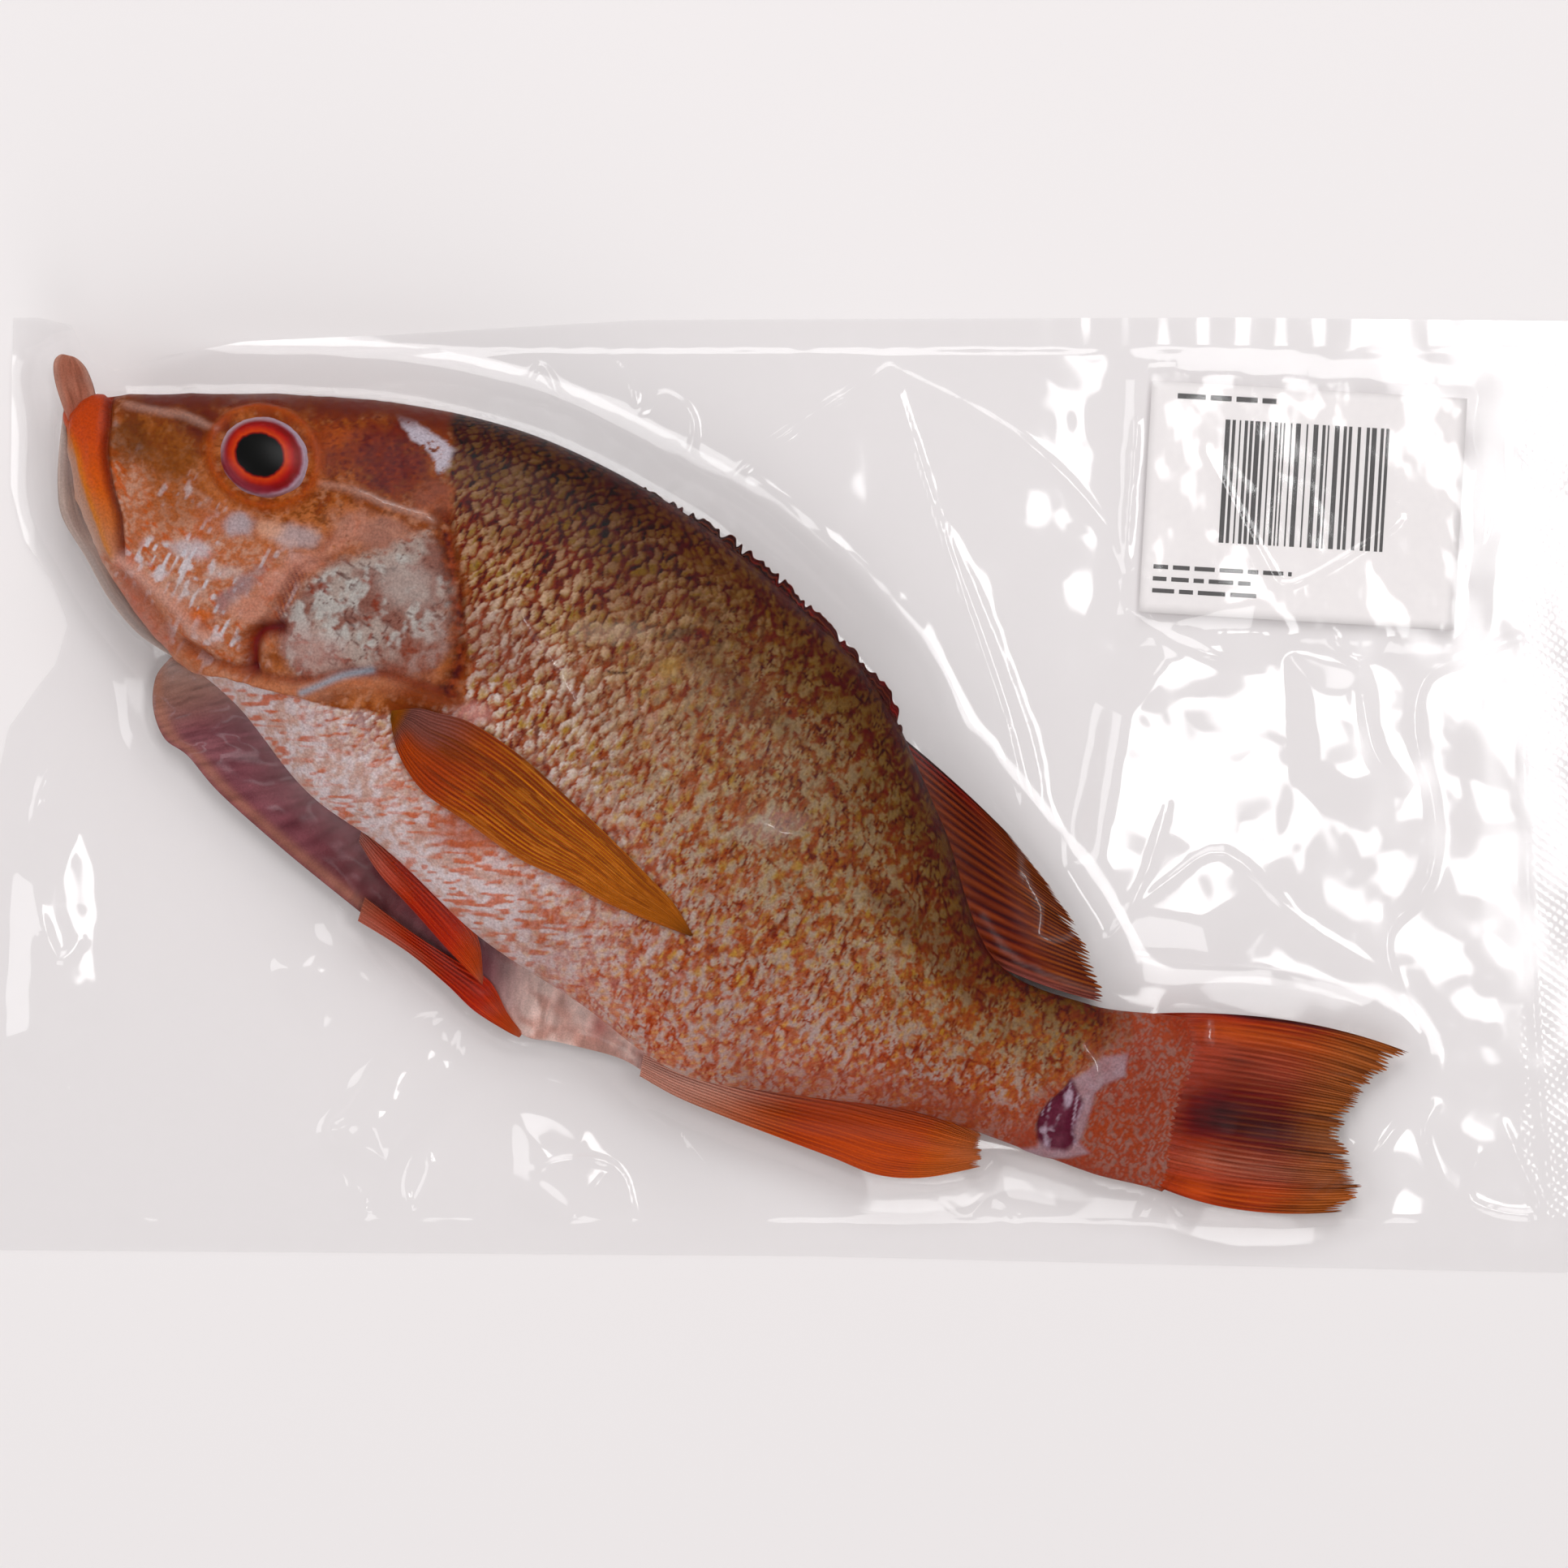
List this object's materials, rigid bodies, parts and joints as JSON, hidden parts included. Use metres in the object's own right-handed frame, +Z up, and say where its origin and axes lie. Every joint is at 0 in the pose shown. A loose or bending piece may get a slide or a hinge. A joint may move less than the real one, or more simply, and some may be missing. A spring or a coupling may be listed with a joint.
{
  "type": "whole raw fish in a clear vacuum bag",
  "caption": "Whole gutted raw fish lying on its side in a flat clear vacuum bag, with a small plain white label card lying inside the bag above the tail.",
  "frame": {"origin": "under the middle of the bag, on the surface that the bag lies on", "axes": "+X along the bag towards the fish's tail, +Y across the bag towards the side with the label, +Z up from the surface"},
  "size_m": [0.35, 0.2, 0.0375],
  "materials": {
    "fish_skin": "wet raw fish skin and fins",
    "bag_film": "clear glossy vacuum film",
    "label_card": "matt white thermal card"
  },
  "bodies": {
    "root": {"fish": "fish_skin", "bag": "bag_film", "label": "label_card"}
  },
  "joints": []
}
